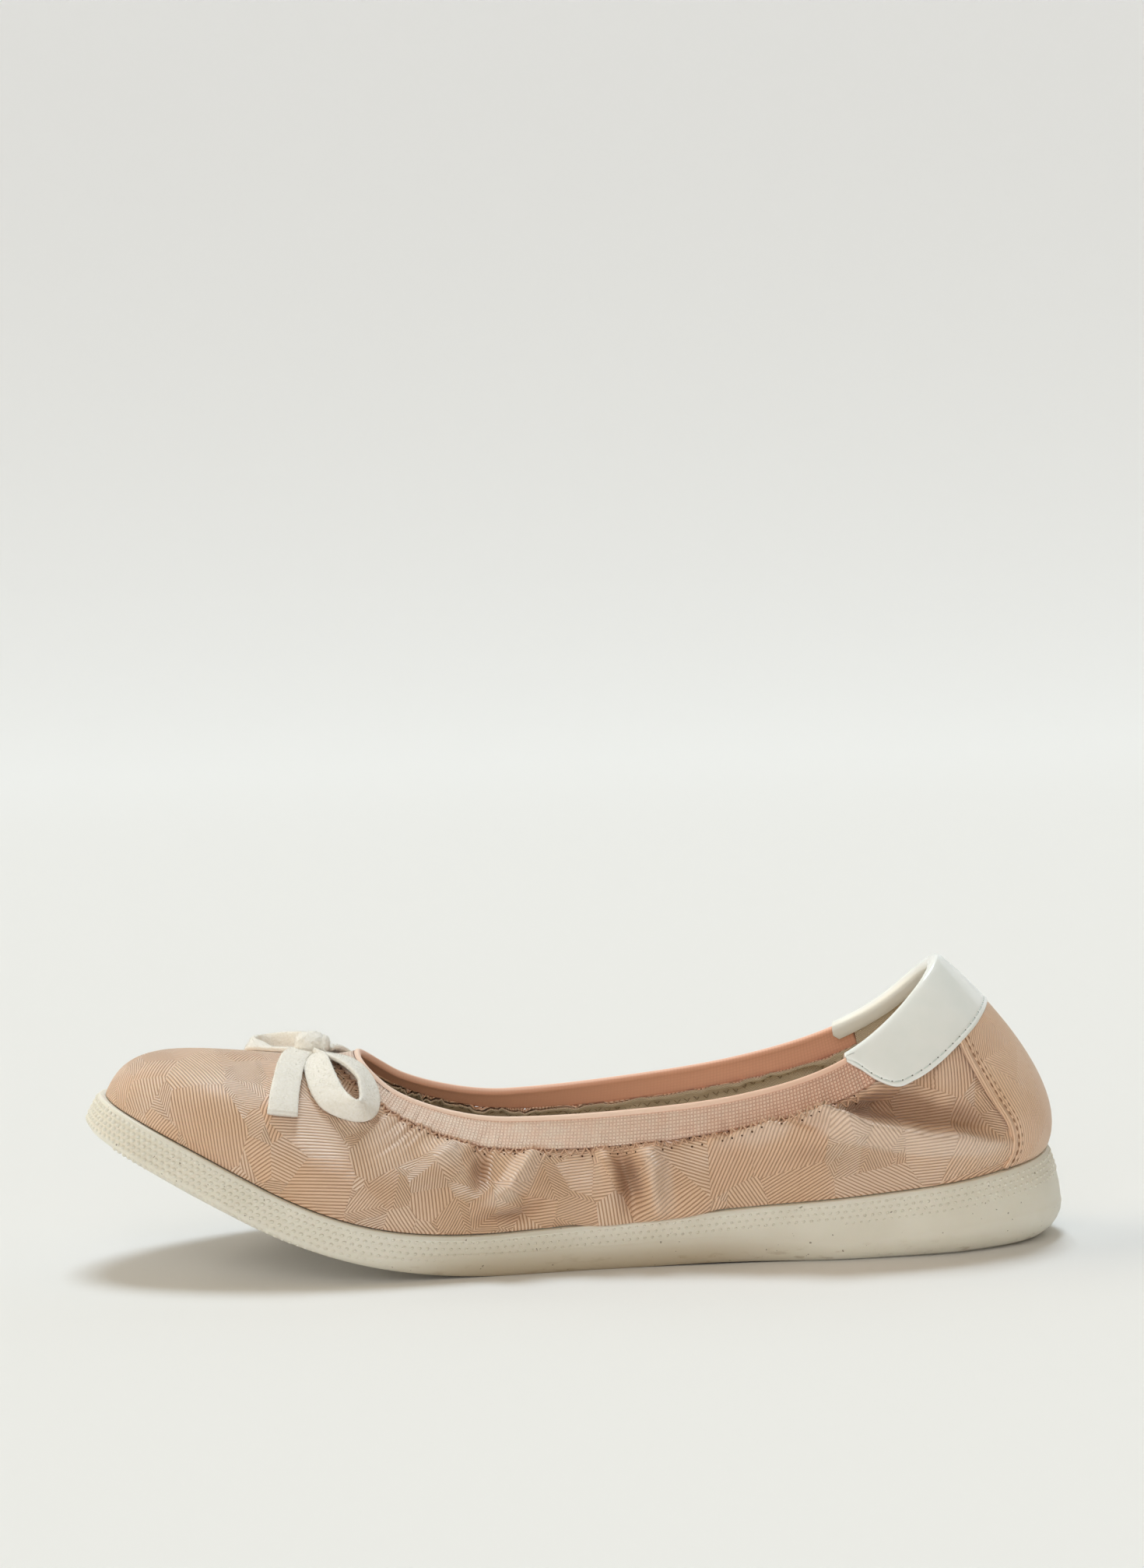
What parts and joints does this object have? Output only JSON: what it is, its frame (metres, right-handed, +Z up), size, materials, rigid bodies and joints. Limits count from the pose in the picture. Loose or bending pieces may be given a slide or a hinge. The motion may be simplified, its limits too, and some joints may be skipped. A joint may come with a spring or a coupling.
{
  "type": "ballet flat shoe",
  "caption": "Right-foot ballet flat: gathered fabric upper on a low moulded sole with toe spring, stretch topline, folded heel cuff and ribbon bow.",
  "frame": {"origin": "on the floor under the middle of the heel, at the middle of the heel's flat spot", "axes": "+X to the toe, +Y to the inner (medial) side, which is the shoe's left, +Z up from the floor"},
  "size_m": [0.2482, 0.0893, 0.0722],
  "materials": {
    "sole_rubber": "matte off-white",
    "insole_lining": "beige lining cloth",
    "tan_satin": "satin with an embossed line pattern",
    "panel_satin": "satin",
    "pink_elastic": "woven elastic",
    "white_patent": "gloss",
    "cream_ribbon": "soft knitted ribbon"
  },
  "bodies": {
    "root": {"outsole": "sole_rubber", "insole": "insole_lining", "upper": "tan_satin", "heel_panel": "panel_satin", "collar_elastic": "pink_elastic", "heel_cuff": "white_patent", "bow_knot": "cream_ribbon", "bow_loop_near": "cream_ribbon", "bow_loop_far": "cream_ribbon", "bow_tail_near": "cream_ribbon", "bow_tail_far": "cream_ribbon"}
  },
  "joints": []
}
